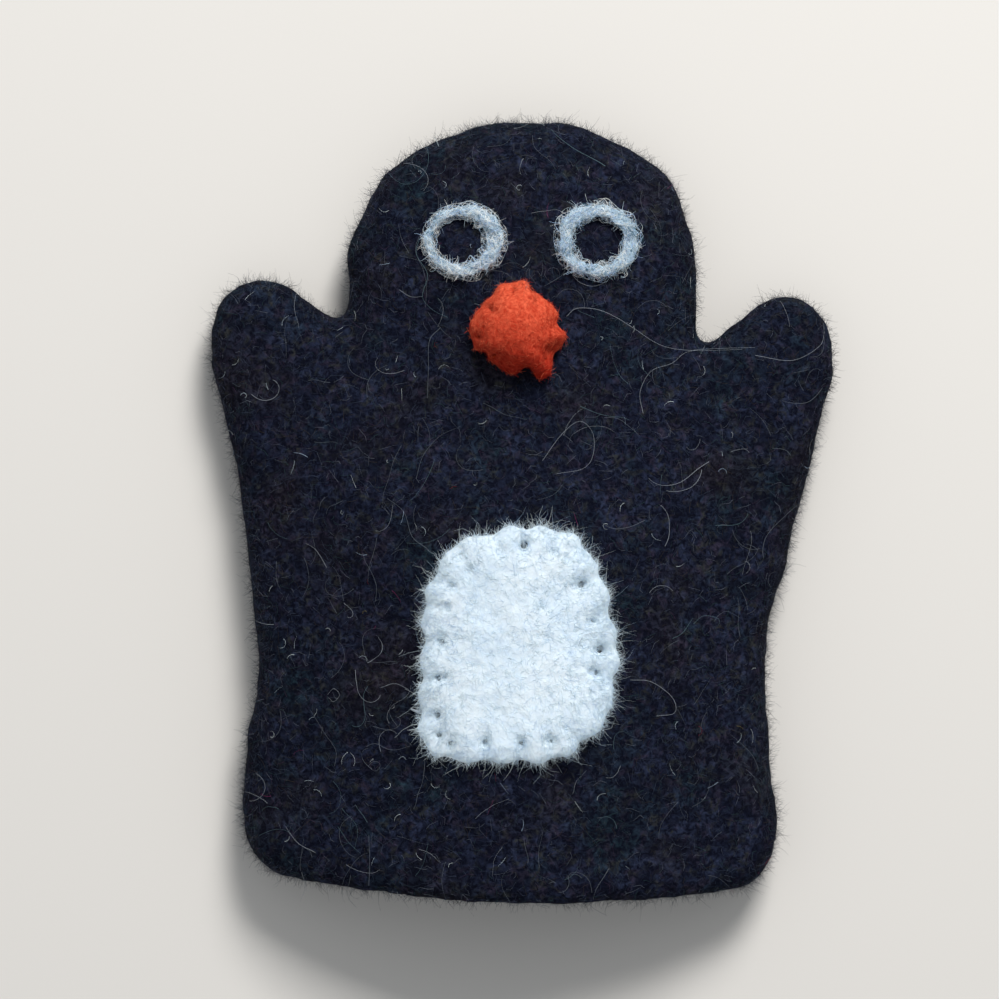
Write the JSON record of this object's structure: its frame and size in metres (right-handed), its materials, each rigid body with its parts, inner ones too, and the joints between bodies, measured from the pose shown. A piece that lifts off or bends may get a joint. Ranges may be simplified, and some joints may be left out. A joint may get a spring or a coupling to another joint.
{
  "type": "finger puppet",
  "caption": "Hollow black felt penguin finger puppet with two stubby wings, a stitched white belly patch, ringed eyes and a puffed orange beak, lying on its back.",
  "frame": {"origin": "middle of the bounding box, on the flat back that the puppet lies on", "axes": "+Z out of the front of the puppet, +Y from the open hem up to the crown of the head, +X towards the right wing as seen from the front"},
  "size_m": [0.0642, 0.08, 0.0166],
  "materials": {
    "black_felt": "matted near-black wool felt with loose fibres",
    "white_felt": "soft cool-white felt with a fuzzy edge",
    "white_thread": "thin white sewing thread",
    "orange_felt": "bright orange felt",
    "orange_thread": "thin orange sewing thread",
    "pale_wool": "pale grey-blue loose wool strand"
  },
  "bodies": {
    "root": {"felt_body": "black_felt", "belly_patch": "white_felt", "belly_thread": "white_thread", "beak": "orange_felt", "beak_thread": "orange_thread", "left_eye": "pale_wool", "right_eye": "pale_wool"}
  },
  "joints": []
}
